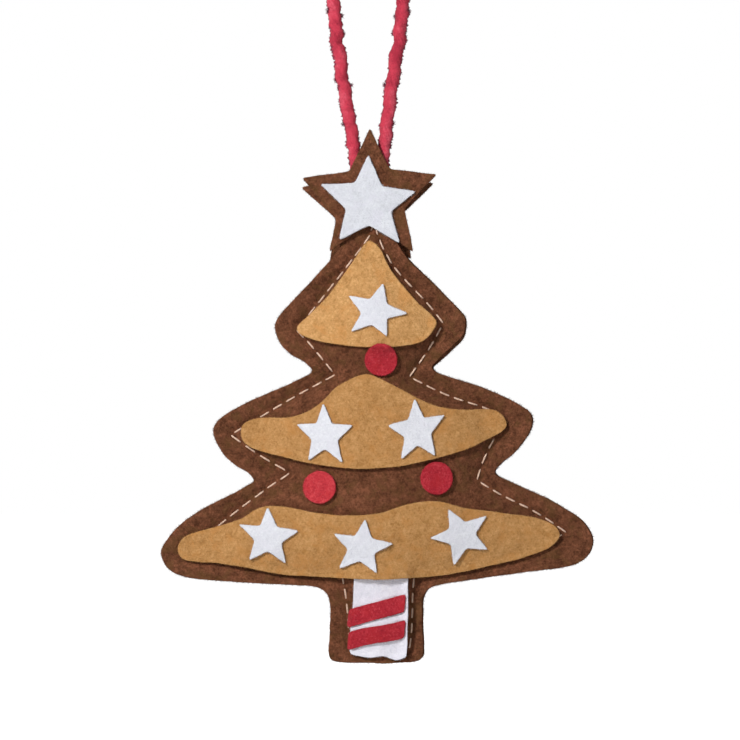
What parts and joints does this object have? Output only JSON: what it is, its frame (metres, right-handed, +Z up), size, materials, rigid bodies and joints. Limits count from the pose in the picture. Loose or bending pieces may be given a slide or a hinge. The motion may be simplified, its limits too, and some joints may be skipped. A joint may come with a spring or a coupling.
{
  "type": "hanging felt tree ornament",
  "caption": "Stuffed tree-shaped felt ornament with a star peak, layered felt trims and a wool yarn hanging loop.",
  "frame": {"origin": "underside of the yarn at the top of the hanging loop, where it rests on a peg", "axes": "+X to the right as seen from the front, -Y towards the decorated front, +Z up"},
  "size_m": [0.0979, 0.016, 0.1977],
  "materials": {
    "brown_felt": "matt needled felt",
    "tan_felt": "matt needled felt",
    "white_felt": "matt needled felt",
    "red_felt": "matt needled felt",
    "red_yarn": "fuzzy, lightly twisted wool yarn",
    "fibre_fill": "loose white polyester fibre"
  },
  "bodies": {
    "loop": {"hanging_loop": "red_yarn"},
    "ornament": {"front_panel": "brown_felt", "back_panel": "brown_felt", "star_front": "brown_felt", "star_back": "brown_felt", "stuffing": "fibre_fill", "tier_top": "tan_felt", "tier_middle": "tan_felt", "tier_bottom": "tan_felt", "star_white": "white_felt", "star_top": "white_felt", "star_middle_left": "white_felt", "star_middle_right": "white_felt", "star_bottom_left": "white_felt", "star_bottom_centre": "white_felt", "star_bottom_right": "white_felt", "trunk_patch": "white_felt", "dot_top": "red_felt", "dot_left": "red_felt", "dot_right": "red_felt", "stripe_upper": "red_felt", "stripe_lower": "red_felt", "loop_end_left": "red_yarn", "loop_end_right": "red_yarn"}
  },
  "joints": [
    {"name": "ornament_swing", "type": "hinge", "parent": "loop", "child": "ornament", "pos_m": [0, 0, -0.0772], "axis": [1, 0, 0], "range_deg": [-100, 100]}
  ]
}
